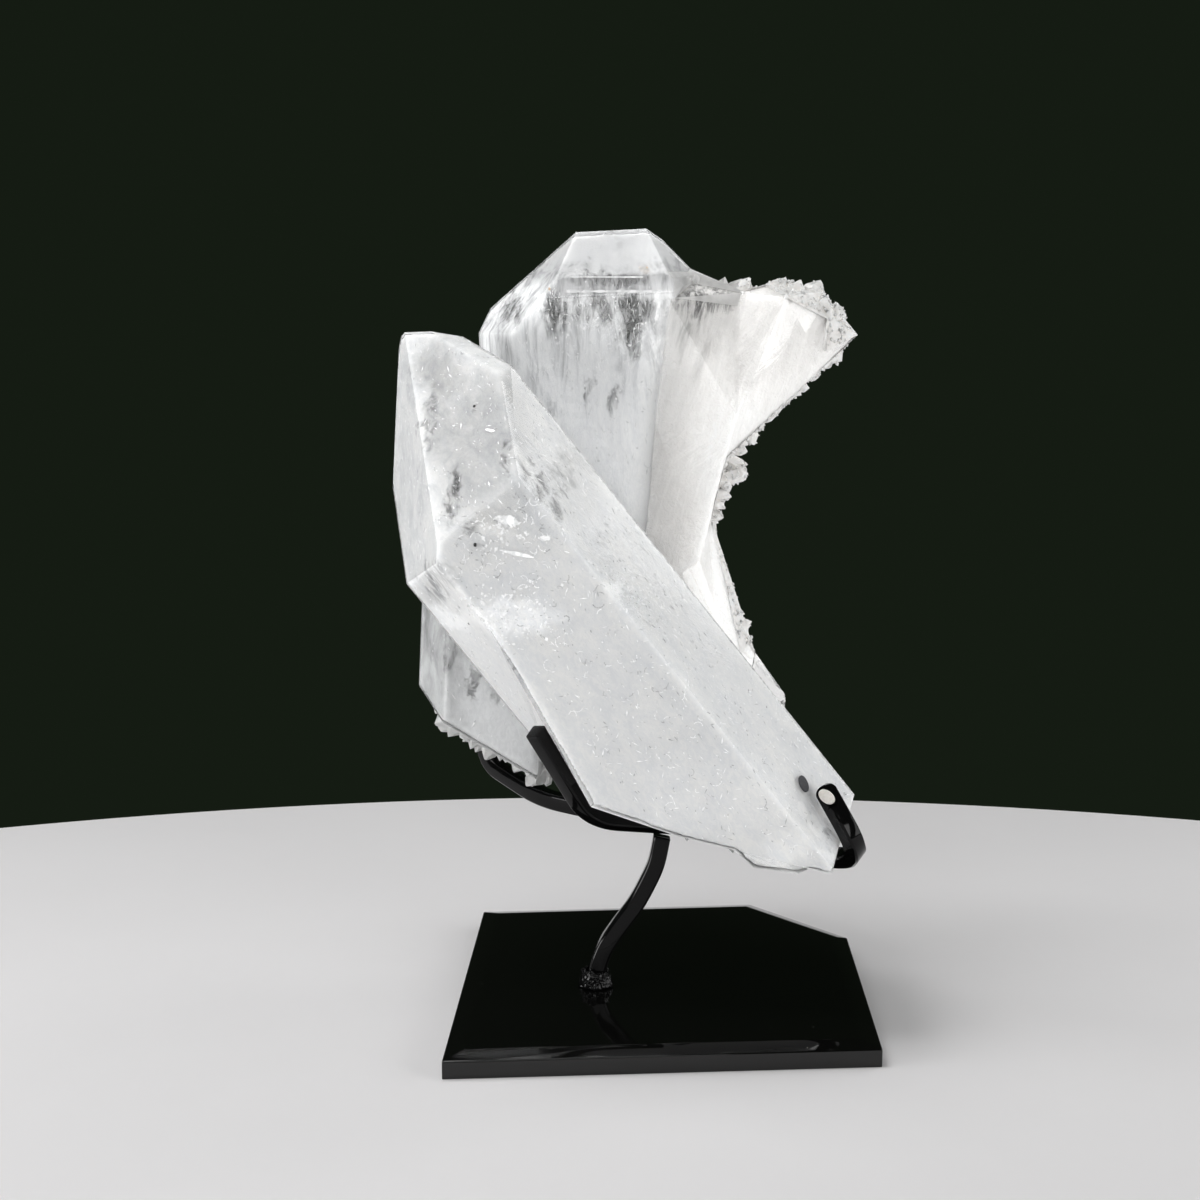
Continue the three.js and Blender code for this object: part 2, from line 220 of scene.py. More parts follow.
def to_mesh(solid, name, smooth_under=35):
    mesh = bpy.data.meshes.new(name)
    solid.to_mesh(mesh)
    solid.free()
    mesh.shade_smooth()
    mesh.set_sharp_from_angle(angle=math.radians(smooth_under))
    return mesh


def softened(node, width_mm, segments=3, sharper_than=20):
    solid = whole_solid(node)
    round_edges(solid, width_mm, segments, sharper_than)
    return to_mesh(solid, node + "_softened")


# %% [markdown]
# ## The plate
#
# The plate is dipped in gloss black until it mirrors the room. Close up there are hairline scratches along
# the bevel and a few grains of dust, so the roughness changes along fine stretched noise.

# %% Plate
def gloss_black(name, base, roughness, scratch, speck_scale, peel, shine):
    """Black enamel: faint scratches in the gloss, a little orange peel and sparse pale dust."""
    finish, tree, out, place = new_finish(name)
    stretched = link_nodes(tree, "Mapping", Vector=place, Scale=(40, 900, 900)).outputs[0]
    lines = ramp(tree, cloud(tree, stretched, 1.0, 3), 0.56, 0.72)
    haze = cloud(tree, place, 60, 5)
    rough = maths(tree, "ADD", maths(tree, "MULTIPLY", lines, scratch),
                  ramp(tree, haze, 0.35, 0.7, roughness * 0.8, roughness * 1.4))
    cells = link_nodes(tree, "TexVoronoi", Vector=place, Scale=speck_scale)
    grain = ramp(tree, cells.outputs["Distance"], 0.035, 0.06, 1, 0)
    rare = maths(tree, "GREATER_THAN", link_nodes(tree, "SeparateColor", Color=cells.outputs["Color"]).outputs[0], 0.93)
    dust = maths(tree, "MULTIPLY", grain, rare)
    tone = two_tone(tree, maths(tree, "MULTIPLY", dust, 0.6), base, (0.6, 0.58, 0.52))
    height = link_nodes(tree, "Bump", Strength=peel, Distance=0.0002,
                        Height=cloud(tree, place, 420, 2)).outputs[0]
    coat = link_nodes(tree, "BsdfPrincipled", Base_Color=tone, Roughness=rough, Normal=height, IOR=1.5,
                      Specular_IOR_Level=shine)
    tree.links.new(coat.outputs[0], out.inputs[0])
    return finish


plate_black = gloss_black("plate_black", (0.003, 0.003, 0.0028), 0.05, 0.05, 240, 0.01, 0.5)
plate = add_piece("plate", softened("base_plate", 0.35, 3, 5), plate_black, "base_plate")
print("plate faces:", len(plate.data.polygons))

# %% [markdown]
# ## The bars
#
# Stem and arms are the same square stock, heated and bent. The black's gloss varies in patches, and it has
# tiny pits and dust.

# %% Bars
bar_black = gloss_black("bar_black", (0.003, 0.003, 0.0031), 0.07, 0.05, 420, 0.04, 0.16)
for node, edge in (("stem", 0.28), ("front_arm", 0.28), ("rear_arm", 0.28), ("right_arm", 0.6)):
    bar = add_piece(node + "_bar", softened(node, edge, 3, 30), bar_black, node)
    print(bar.name, len(bar.data.polygons))

# %% [markdown]
# ## The weld at the foot
#
# The stem is welded to the plate with a small uneven bead. A smooth cone would look turned, so the measured
# bead is remeshed finely and pushed in and out by noise.

# %% Weld bead
def remeshed(points_or_mesh, cell_mm, name):
    """Any closed mesh as an even net of small cells."""
    holder = bpy.data.objects.new(name + "_holder", points_or_mesh)
    scene.collection.objects.link(holder)
    net = holder.modifiers.new("net", "REMESH")
    net.mode = "VOXEL"
    net.voxel_size = cell_mm * MM
    ready = holder.evaluated_get(bpy.context.evaluated_depsgraph_get())
    mesh = bpy.data.meshes.new_from_object(ready)
    bpy.data.objects.remove(holder)
    mesh.name = name
    return mesh


def ruffled(mesh, height_mm, lump_mm, seed, only_in=False):
    """Pushes every point in and out along its normal by smooth noise."""
    shift = Vector((seed * 3.7, seed * 1.3, seed * 7.1))
    normals = [v.normal.copy() for v in mesh.vertices]
    for vertex, normal in zip(mesh.vertices, normals):
        push = noise.fractal(vertex.co / (lump_mm * MM) + shift, 0.6, 2.0, 3)
        push = -abs(push) if only_in else push
        vertex.co += normal * push * height_mm * MM
    mesh.update()
    return mesh


bead_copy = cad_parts["foot_weld"].data.copy()
bead_mesh = ruffled(remeshed(bead_copy, 0.45, "foot_bead"), 0.7, 3.2, 4)
bead_mesh.shade_smooth()
bead = add_piece("foot_bead", bead_mesh, bar_black, "foot_weld")
print("bead faces:", len(bead.data.polygons))

# %% [markdown]
# ## Pad and dot
#
# A pale oval sits on the end of the hooked arm and a dark grey dot on the crystal beside it. Their edges are
# round and their surfaces are mottled.

# %% Pad and dot
def soft_finish(name, dark, light, grain, rough, height):
    finish, tree, out, place = new_finish(name)
    fibre = cloud(tree, place, grain, 6, 0.7)
    tone = two_tone(tree, ramp(tree, fibre, 0.35, 0.65), dark, light)
    relief = link_nodes(tree, "Bump", Strength=0.4, Distance=height, Height=fibre).outputs[0]
    body = link_nodes(tree, "BsdfPrincipled", Base_Color=tone, Roughness=rough, Normal=relief)
    tree.links.new(body.outputs[0], out.inputs[0])
    return finish


# A pale mottled finish for the oval on the hooked arm's end, and a dark grey one for the dot.
pale_end_look = soft_finish("pale_end_finish", (0.70, 0.67, 0.62), (0.80, 0.77, 0.73), 900, 0.45, 0.00008)
dark_dot_look = soft_finish("dark_dot_finish", (0.05, 0.051, 0.056), (0.085, 0.086, 0.092), 2600, 0.95, 0.0002)
add_piece("pale_end_piece", softened("end_pad", 0.25, 3, 40), pale_end_look, "end_pad")
add_piece("dark_dot", softened("grey_dot", 0.25, 3, 40), dark_dot_look, "grey_dot")

# %% [markdown]
# ## The crystals, as a crystal grower would write them down
#
# A quartz crystal is a six-sided column with a six-sided point. Its planes can be moved inwards by any
# depth, which gives the ghost of the crystal at an earlier age. Milk, veils and phantoms inside the quartz
# follow those ghosts, so the numbers of each crystal are kept here. Lengths are in millimetres.

# %% Crystal numbers
CRYSTALS = {
    "front": dict(apex=(-97, 4, 251), axis=(-0.625, 0.017, 0.781), turn=-2.7, walls=(51, 33.3, 15.4, 15, 38.1, 53.5),
                  slopes=(3.1, -7.5, -4, -8, -6.6, 5),
                  cuts=(((-0.337, 0.1, -1), (4.2, -49, 76.2)), ((-0.241, 0.1, -1), (4.2, -49, 76.2)),
                        ((0.93, -0.2, -0.25), (66.3, -30, 70)))),
    "rear": dict(apex=(-23, 34, 307.7), axis=(-0.048, -0.019, 0.999), turn=-3.5, walls=(19.6, 34, 36, 25, 46.7, 39.3),
                 slopes=(8.7, -7.1, -2.9, 25.5, -15, 3.4), cuts=(((-0.2, 0.15, -1), (-20, 34, 92)),)),
    "left": dict(apex=(-60, 26, 192), axis=(0.05, 0, 1), turn=0, walls=(23, 28, 28, 24, 23.5, 26.5),
                 slopes=(0, 3, 0, 4, 0, 2), cuts=(((-0.62, 0.2, -1), (-60, 6, 92.5)),)),
}
BLADES = {
    "lip": ((-66, -47, 159.5), (-25.2, -47.95, 86.1), (-1.8, -48.95, 78.3), (4.2, -49.15, 76.2), (12, -49.2, 95),
            (-48, -47.2, 160), (-63, -41.5, 158), (-22, -41, 88), (4.2, -41, 78.5), (8, -41, 92)),
    "heel": ((25, -50.1, 71.4), (32.6, -50.3, 64.5), (48.2, -50.9, 62.5), (55, -49, 65.1), (28, -36, 71),
             (34, -36, 65), (50, -35, 63.5), (30, -48, 80), (52, -44, 80)),
    "middle": ((3.5, 13.4, 265), (12.2, 27, 276.5), (32.8, 21, 267.5), (29.7, 13, 221), (16, 11, 167),
               (-1.5, 12.5, 220), (-7, 13, 150), (5, 46, 266), (33, 44, 262), (30, 42, 214), (17, 42, 160),
               (-7, 48, 148)),
    "right": ((47.7, 16, 265.5), (29.7, 13.5, 221), (77.8, 36, 251.5), (63.7, 34, 268), (33.4, 26, 211),
              (31, 20, 267.5), (45.6, 34, 272), (20, 14, 200), (40, 50, 262), (68, 47, 254), (28, 44, 206)),
    "lower": ((21.2, 24, 181), (39, 30, 128), (34.4, 20, 115), (16.5, 14, 120), (8, 15, 172), (18, 46, 176),
              (36, 44, 128), (28, 42, 108), (-10, 46, 112), (-4, 46, 175)),
}
SLOPE_ANGLE = math.radians(38.2)


def crystal_planes(apex, axis, turn, walls, slopes, cuts):
    """The crystal's faces as pairs of an outward direction and a distance from the origin."""
    apex, along = Vector(apex), Vector(axis).normalized()
    ahead = Vector((0, -1, 0))
    ahead = (ahead - along * ahead.dot(along)).normalized()
    planes = []
    for i in range(6):
        out_of = Matrix.Rotation(math.radians(turn + 60 * i), 3, along) @ ahead
        planes.append((out_of, out_of.dot(apex) + walls[i]))
        up = out_of * math.cos(SLOPE_ANGLE) + along * math.sin(SLOPE_ANGLE)
        planes.append((up, up.dot(apex - along * slopes[i])))
    for faces, through in cuts:
        direction = Vector(faces).normalized()
        planes.append((direction, direction.dot(Vector(through))))
    return planes


def blade_planes(corners):
    """The faces of the hull around a list of corners."""
    hull = bmesh.new()
    for corner in corners:
        hull.verts.new(corner)
    bmesh.ops.convex_hull(hull, input=hull.verts)
    bmesh.ops.recalc_face_normals(hull, faces=hull.faces)
    planes = []
    for face in hull.faces:
        direction = face.normal.copy()
        if all(direction.dot(other) < 0.9999 for other, _ in planes):
            planes.append((direction, direction.dot(face.verts[0].co)))
    hull.free()
    return planes


FOOT_DEPTH = 0.35
GROWN_FACES = 12


def ghost_mesh(planes, depth, name, grown=None):
    """The closed solid whose faces lie `depth` mm inside the given planes. Broken faces at the foot stay near."""
    facing = np.array([p[0] for p in planes])
    reach = np.array([p[1] for p in planes]) - depth
    if grown:
        reach[grown:] += depth - FOOT_DEPTH
    points = []
    for triple in combinations(range(len(planes)), 3):
        chosen = facing[list(triple)]
        if abs(np.linalg.det(chosen)) < 1e-5:
            continue
        point = np.linalg.solve(chosen, reach[list(triple)])
        if np.all(facing @ point < reach + 1e-4):
            points.append(Vector(point) * MM)
    solid = bmesh.new()
    for point in points:
        solid.verts.new(point)
    bmesh.ops.remove_doubles(solid, verts=solid.verts, dist=1e-6)
    hull = bmesh.ops.convex_hull(solid, input=solid.verts)
    spare = [v for v in hull["geom_interior"] + hull["geom_unused"] if isinstance(v, bmesh.types.BMVert)]
    bmesh.ops.delete(solid, geom=list(set(spare)), context="VERTS")
    mesh = bpy.data.meshes.new(name)
    solid.to_mesh(mesh)
    solid.free()
    return mesh


PLANES = {name: crystal_planes(**numbers) for name, numbers in CRYSTALS.items()}
PLANES.update({name: blade_planes(corners) for name, corners in BLADES.items()})
print({name: len(planes) for name, planes in PLANES.items()})

# %% [markdown]
# ## The clear skin
#
# The outside of the quartz is glassy: light bends as it goes in, and the flat faces mirror the lamps. The
# skin is a copy of the measured cluster with softened edges. Quartz walls carry fine steps across their
# length, so each wall of the rear crystal is cut into bands that tilt by a fraction of a degree. Lamp light
# is let straight through the skin, or the milk inside would stay dark.

# %% Skin mesh
def faces_on(solid, direction, distance):
    """The faces of a solid that lie on one plane."""
    return [f for f in solid.faces if f.normal.dot(direction) > 0.999
            and abs(direction.dot(f.verts[0].co) / MM - distance) < 0.05]


def cut_across(solid, faces, along, height):
    """Cuts the faces at one height along a direction, in mm, and returns the new corners."""
    touched = set(faces) | {e for f in faces for e in f.edges} | {v for f in faces for v in f.verts}
    made = bmesh.ops.bisect_plane(solid, geom=list(touched), dist=1e-7, plane_co=along * height * MM, plane_no=along)
    return [g for g in made["geom_cut"] if isinstance(g, bmesh.types.BMVert)]


def band_wall(solid, plane, along, spacing, shift, rng):
    """Cuts one wall into bands across its length and shifts each cut in or out by a hair."""
    direction, distance = plane
    heights = [along.dot(v.co) / MM for f in faces_on(solid, direction, distance) for v in f.verts]
    if not heights:
        return 0
    shifted = []
    height = min(heights) + rng.uniform(*spacing)
    while height < max(heights) - 1:
        push = direction * rng.uniform(-shift, shift) * MM
        shifted += [(v, push) for v in cut_across(solid, faces_on(solid, direction, distance), along, height)]
        height += rng.uniform(*spacing)
    for vertex, push in shifted:
        vertex.co += push
    return len(shifted)


def sink_upper(solid, plane, along, low, high, depth):
    """Sets the part of a wall above `high` back by `depth`, with a sloped ledge from `low` to `high`."""
    direction, distance = plane
    for height in (low, high):
        cut_across(solid, faces_on(solid, direction, distance), along, height)
    upper = {v for f in faces_on(solid, direction, distance) for v in f.verts if along.dot(v.co) / MM > high - 0.01}
    for vertex in upper:
        vertex.co -= direction * depth * MM


WORN = 2
step_rng = random.Random(11)
skin_solid = whole_solid("quartz_cluster")
front_along = Vector(CRYSTALS["front"]["axis"]).normalized()
rear_along = Vector(CRYSTALS["rear"]["axis"]).normalized()
sink_upper(skin_solid, PLANES["rear"][0], rear_along, 266.0, 267.2, 1.0)
for wall in range(0, 12, 2):
    moved = band_wall(skin_solid, PLANES["rear"][wall], rear_along, (4, 12), 0.03, step_rng)
    print("wall", wall // 2, "cut corners", moved)
round_edges(skin_solid, 0.42, 2, 12, WORN)
bmesh.ops.triangulate(skin_solid, faces=[f for f in skin_solid.faces if len(f.verts) > 4])
skin_mesh = to_mesh(skin_solid, "quartz_skin", 8)
worn_faces = [f.index for f in skin_mesh.polygons if f.material_index == WORN]
print("skin faces:", len(skin_mesh.polygons), "of them on worn edges:", len(worn_faces))

# %% Skin finish
def axis_vector(tree, place, axis, across, lengthwise):
    """The place measured along a crystal's axis and across it, each scaled on its own."""
    along = Vector(axis).normalized()
    side = along.cross(Vector((0, 1, 0))).normalized()
    deep = along.cross(side)
    parts = []
    for direction, scale in ((side, across), (deep, across), (along, lengthwise)):
        parts.append(link_nodes(tree, "VectorMath", {"operation": "DOT_PRODUCT"}, i0=place,
                                i1=tuple(direction * scale)).outputs["Value"])
    return link_nodes(tree, "CombineXYZ", X=parts[0], Y=parts[1], Z=parts[2]).outputs[0]


def skin_finish():
    finish, tree, out, place = new_finish("quartz_skin_finish")
    steps = cloud(tree, axis_vector(tree, place, CRYSTALS["front"]["axis"], 60, 500), 1.0, 3)
    curls = cloud(tree, place, 220, 4, 0.6, 1.5)
    height = maths(tree, "ADD", maths(tree, "MULTIPLY", steps, 0.6), maths(tree, "MULTIPLY", curls, 0.4))
    relief = link_nodes(tree, "Bump", Strength=0.12, Distance=0.0004, Height=height).outputs[0]
    rough = ramp(tree, cloud(tree, place, 38, 5), 0.35, 0.7, 0.03, 0.16)
    glass = link_nodes(tree, "BsdfPrincipled", Base_Color=(0.985, 0.99, 0.985, 1), Roughness=rough, IOR=1.544,
                       Transmission_Weight=1.0, Normal=relief)
    through = link_nodes(tree, "BsdfTransparent")
    lamp_ray = link_nodes(tree, "LightPath").outputs["Is Shadow Ray"]
    both = link_nodes(tree, "MixShader", i0=lamp_ray, i1=glass.outputs[0], i2=through.outputs[0])
    tree.links.new(both.outputs[0], out.inputs[0])
    return finish


def frosted_finish(name, clear, rough, dark, light):
    """Quartz that is partly clear and partly white with tiny chips."""
    finish, tree, out, place = new_finish(name)
    grain = cloud(tree, place, 420, 4)
    tone = two_tone(tree, ramp(tree, grain, 0.35, 0.65), dark, light)
    body = link_nodes(tree, "BsdfPrincipled", Base_Color=tone, Roughness=rough, IOR=1.544, Transmission_Weight=clear)
    tree.links.new(body.outputs[0], out.inputs[0])
    return finish


skin = add_piece("quartz_skin", skin_mesh, skin_finish(), "quartz_cluster")

# %% [markdown]
# ## Crusts of small points
#
# Along the jagged right edge and under the left crystal sit hundreds of tiny white crystals. The larger ones
# are in the measured solid. Its small faces near those edges take a white sugary finish, and still smaller
# points are scattered over them, each standing out from the face that carries it.

# %% Crusts
CRUST_LINES = (
    ((4, 24, 270), (30, 24, 266)),
    ((30, 24, 266), (46, 30, 267), (60, 33, 264), (69, 35, 256)),
    ((70, 37, 247), (32, 28, 212), (31, 30, 200), (24, 29, 190), (19, 28, 174), (25, 29, 156), (36, 30, 132)),
    ((-83, 18, 110), (-78, 14, 105), (-68, 12, 98), (-56, 11, 91), (-42, 12, 83)),
)


def far_from_crust(point):
    """Distance in mm from a point to the nearest crust line, and that line's number."""
    best = (1e9, 0)
    for number, line in enumerate(CRUST_LINES):
        for start, end in zip(line, line[1:]):
            start, end = Vector(start), Vector(end)
            run = end - start
            share = min(max((point - start).dot(run) / run.length_squared, 0), 1)
            best = min(best, ((point - start - run * share).length, number))
    return best


def sugar_finish():
    """White, slightly see-through grains."""
    finish, tree, out, place = new_finish("sugar_white")
    grain = cloud(tree, place, 260, 5)
    tone = two_tone(tree, ramp(tree, grain, 0.35, 0.65), (0.86, 0.845, 0.825), (0.95, 0.936, 0.918))
    relief = link_nodes(tree, "Bump", Strength=0.12, Distance=0.0003, Height=cloud(tree, place, 900, 3)).outputs[0]
    rough = ramp(tree, grain, 0.3, 0.7, 0.18, 0.45)
    body = link_nodes(tree, "BsdfPrincipled", Base_Color=tone, Roughness=rough, Normal=relief, IOR=1.544,
                      Subsurface_Weight=0.9, Subsurface_Radius=(1.0, 0.97, 0.94), Subsurface_Scale=0.004)
    tree.links.new(body.outputs[0], out.inputs[0])
    return finish


sugar_white = sugar_finish()
skin_mesh.materials.append(sugar_white)
skin_mesh.materials.append(frosted_finish("worn_edge", 0.3, 0.4, (0.93, 0.93, 0.93), (0.99, 0.99, 0.99)))
skin_mesh.materials.append(frosted_finish("frosted_points", 0.55, 0.3, (0.84, 0.84, 0.83), (0.95, 0.95, 0.94)))
FROSTED = 3
for index in worn_faces:
    skin_mesh.polygons[index].material_index = WORN
SOFT_FOLD = (Vector((-66, -47, 159.5)), Vector((-25.2, -47.95, 86.1)))
fold_run = SOFT_FOLD[1] - SOFT_FOLD[0]
for index in worn_faces:
    face = skin_mesh.polygons[index]
    away = face.center / MM - SOFT_FOLD[0]
    if (away - fold_run * (away.dot(fold_run) / fold_run.length_squared)).length < 1.5:
        face.material_index = 0
FAN_LEFT, FAN_FRONT, FAN_FOOT = 1 * MM, 2 * MM, 128 * MM
for index in worn_faces:
    face = skin_mesh.polygons[index]
    if face.center.x > FAN_LEFT and face.center.y > FAN_FRONT and face.center.z > FAN_FOOT:
        face.material_index = 0
FOOT_TOP = 100 * MM
for face in skin_mesh.polygons:
    if face.normal.z < -0.55 and face.center.z < FOOT_TOP:
        face.material_index = WORN
CLEARER = (0, 3)
CRUST_REACH = 9.5
CRUST_FACE = 60
carriers = []
for face in skin_mesh.polygons:
    reach, number = far_from_crust(face.center / MM)
    if reach < CRUST_REACH and face.area / MM**2 < CRUST_FACE:
        face.material_index = FROSTED if number in CLEARER else 1
        if number not in CLEARER:
            carriers.append(face)
print("crust faces:", len(carriers))


def add_point(solid, root, axis, width, length, rng):
    """One small six-sided quartz point, its foot sunk below the root."""
    axis = axis.normalized()
    side = axis.orthogonal().normalized()
    turn = rng.uniform(0, math.pi)
    rings = []
    for height, size in ((-0.6 * width, 1.0), (length - 0.6 * width, 1.0)):
        ring = []
        for corner in range(6):
            spin = Matrix.Rotation(turn + corner * math.pi / 3, 3, axis)
            ring.append(solid.verts.new(root + axis * height + spin @ side * width / 2 * size))
        rings.append(ring)
    tip = solid.verts.new(root + axis * (length + rng.uniform(-0.1, 0.1) * width))
    for corner in range(6):
        after = (corner + 1) % 6
        solid.faces.new((rings[0][corner], rings[0][after], rings[1][after], rings[1][corner]))
        solid.faces.new((rings[1][corner], rings[1][after], tip))
    solid.faces.new(rings[0][::-1])


druse_rng = random.Random(23)
druse_solid = bmesh.new()
weights = [face.area for face in carriers]
for face in druse_rng.choices(carriers, weights, k=700):
    corners = [skin_mesh.vertices[i].co for i in face.vertices]
    mix = [druse_rng.random() for _ in corners]
    root = sum((c * m for c, m in zip(corners, mix)), Vector()) / sum(mix)
    tilt = Vector([druse_rng.uniform(-0.6, 0.6) for _ in range(3)])
    width = druse_rng.uniform(0.5, 1.4) * MM
    add_point(druse_solid, root, face.normal + tilt, width, width * druse_rng.uniform(0.5, 1.2), druse_rng)
druse_mesh = to_mesh(druse_solid, "druse", 20)
druse = add_piece("druse", druse_mesh, sugar_white)
print("druse faces:", len(druse_mesh.polygons))

# %% [markdown]
# ## Milk
#
# Most of the cluster is milky: countless tiny bubbles of water caught while it grew. The milk is a body a
# little way under the skin. It scatters light inside itself, and it breaks up into cloud towards the clear
# tips, which is done with noise that fades along the length of each crystal.

# %% Milk bodies
def along_axis(tree, place, axis):
    """Height of each point along a crystal's length, in metres."""
    return link_nodes(tree, "VectorMath", {"operation": "DOT_PRODUCT"}, i0=place,
                      i1=tuple(Vector(axis).normalized())).outputs["Value"]


def in_windows(tree, place, windows, streaks, least=0.3):
    """How far inside the clear windows a point lies. Each window has a centre, half sizes in mm and a strength."""
    comb = ramp(tree, cloud(tree, streaks, 2.2, 3, 0.55, 1.4), 0.34, 0.6, least, 1)
    for scale, reach in ((80.0, 0.006), (380.0, 0.003)):
        wobble = link_nodes(tree, "TexNoise", Vector=place, Scale=scale, Detail=2.0).outputs[1]
        wobble = link_nodes(tree, "VectorMath", {"operation": "MULTIPLY_ADD"}, i0=wobble,
                            i1=(2 * reach, 0, 2 * reach), i2=(-reach, 0, -reach)).outputs[0]
        place = link_nodes(tree, "VectorMath", {"operation": "ADD"}, i0=place, i1=wobble).outputs[0]
    total = None
    for centre, size, strength in windows:
        away = link_nodes(tree, "VectorMath", {"operation": "SUBTRACT"}, i0=place, i1=tuple(Vector(centre) * MM))
        shares = link_nodes(tree, "VectorMath", {"operation": "DIVIDE"}, i0=away.outputs[0],
                            i1=tuple(Vector(size) * MM))
        far = link_nodes(tree, "VectorMath", {"operation": "LENGTH"}, i0=shares.outputs[0]).outputs["Value"]
        dip = ramp(tree, far, 0.45, 1.25, strength, 0)
        total = dip if total is None else maths(tree, "ADD", total, dip)
    return maths(tree, "MULTIPLY", total, comb)


def haze_finish(name, axis, stretch, fade, rest, grain, most, tones, windows=(), relief=0.0, scatter=0.0,
                painted_shading=(), painted_light_spots=()):
    """Cloudy white. fade: heights in mm between which the cover falls from full to `rest`. The ramps along directions
    and the bright and dim spots scale the colour by place: painted light and shade.
    """
    finish, tree, out, place = new_finish(name)
    streaks = axis_vector(tree, place, axis, *stretch)
    wisp = cloud(tree, streaks, 1.0, 6, 0.62, 1.1)
    threads = cloud(tree, streaks, 2.6, 4, 0.55, 0.9, "RIDGED_MULTIFRACTAL")
    cover = ramp(tree, along_axis(tree, place, axis), fade[0] * MM, fade[1] * MM, 1.3, rest)
    cover = maths(tree, "ADD", cover, ramp(tree, wisp, 0.25, 0.75, -grain, grain))
    cover = maths(tree, "ADD", cover, ramp(tree, threads, 0.55, 1.15, 0, grain * 0.5))
    if windows:
        cover = maths(tree, "SUBTRACT", cover, in_windows(tree, place, windows, streaks))
    alpha = maths(tree, "MULTIPLY", ramp(tree, cover, 0.0, 1.0), most)
    fine = cloud(tree, streaks, 7.0, 4, 0.6, 1.4)
    share = maths(tree, "ADD", ramp(tree, wisp, 0.3, 0.7, 0, 0.5), ramp(tree, fine, 0.36, 0.66, 0, 0.5))
    tone = two_tone(tree, share, *tones)
    strength = None
    # Painted light and shade: the colour is scaled up or down along a direction.
    for direction, low, high, below, above in painted_shading:
        part = ramp(tree, along_axis(tree, place, direction), low * MM, high * MM, below, above)
        strength = part if strength is None else maths(tree, "MULTIPLY", strength, part)
    # Painted light and shade: spots that lighten or darken the colour by place.
    if painted_light_spots:
        spot_light_and_shade = in_windows(tree, place, painted_light_spots, streaks, 0.75)
        strength = maths(tree, "ADD", spot_light_and_shade, 1.0 if strength is None else strength)
    if strength is not None:
        tone = link_nodes(tree, "VectorMath", {"operation": "SCALE"}, i0=tone, Scale=strength).outputs[0]
    body = link_nodes(tree, "BsdfPrincipled", Base_Color=tone, Roughness=0.6, Alpha=alpha, Specular_IOR_Level=0.0)
    if scatter:
        body.inputs["Subsurface Weight"].default_value = 0.8
        body.inputs["Subsurface Radius"].default_value = (1, 1, 1)
        body.inputs["Subsurface Scale"].default_value = scatter
    if relief:
        curls = cloud(tree, place, 330, 4, 0.6, 2.2)
        bumps = link_nodes(tree, "Bump", Strength=relief, Distance=0.0012, Height=curls).outputs[0]
        tree.links.new(bumps, body.inputs["Normal"])
    tree.links.new(body.outputs[0], out.inputs[0])
    return finish


def milk_body(name, sources, depth, cell, finish, seed, rounds=0, ruffle=(0.2, 14)):
    """The joined ghosts of one or more crystals as one soft closed body. rounds: how often corners are eased."""
    joined = bmesh.new()
    for source in sources:
        grown = GROWN_FACES if source in CRYSTALS else None
        joined.from_mesh(ghost_mesh(PLANES[source], depth, name + "_" + source, grown))
    mesh = bpy.data.meshes.new(name)
    joined.to_mesh(mesh)
    joined.free()
    body = remeshed(mesh, cell, name)
    eased = bmesh.new()
    eased.from_mesh(body)
    for _ in range(rounds):
        bmesh.ops.smooth_vert(eased, verts=eased.verts, factor=0.5, use_axis_x=True, use_axis_y=True, use_axis_z=True)
    eased.to_mesh(body)
    eased.free()
    body = ruffled(body, *ruffle, seed, True)
    body.shade_smooth()
    piece = add_piece(name, body, finish)
    print(name, "faces", len(body.polygons))
    return piece


ICE = ((0.578, 0.586, 0.602), (0.678, 0.673, 0.665))
# Partly painted light: the rear milk is paler than the front milk, to make up for the shade the front crystal casts on
# it.
PALE = ((0.71, 0.716, 0.732), (0.835, 0.836, 0.838))
WARM = ((0.79, 0.778, 0.77), (0.90, 0.887, 0.876))
UP = (0, 0, 1)
RIGHTWARD = (1, 0, 0)
DULL = ((0.60, 0.605, 0.612), (0.74, 0.744, 0.75))
AXES = {name: numbers["axis"] for name, numbers in CRYSTALS.items()}
AXES["fan"] = (0.25, 0, 0.97)
FRONT_WINDOWS = (
    ((-83.5, -20, 222), (2.6, 60, 14), 0.4),
    ((-73.2, -20, 195), (3.4, 60, 11), 0.6), ((-66.3, -20, 185.4), (5, 60, 4), 0.6), ((-54, -20, 209.5), (2.8, 60, 7), 0.55),
    ((-46, -20, 205), (3, 60, 4.5), 0.5), ((-42, -20, 198.5), (3.2, 60, 4.5), 0.6), ((-37, -20, 191.5), (3.2, 60, 4.5), 0.6),
    ((-79, -20, 164), (7, 60, 10), 0.5), ((-34.5, -20, 158), (2.6, 60, 3), 0.55), ((60, -36, 75), (6, 40, 6), 0.65),
    ((-35, -27, 202), (4.5, 14, 13), 0.4), ((-19, -33, 179), (5, 14, 7), 0.4), ((-7, -37, 163), (6, 14, 5), 0.35),
)
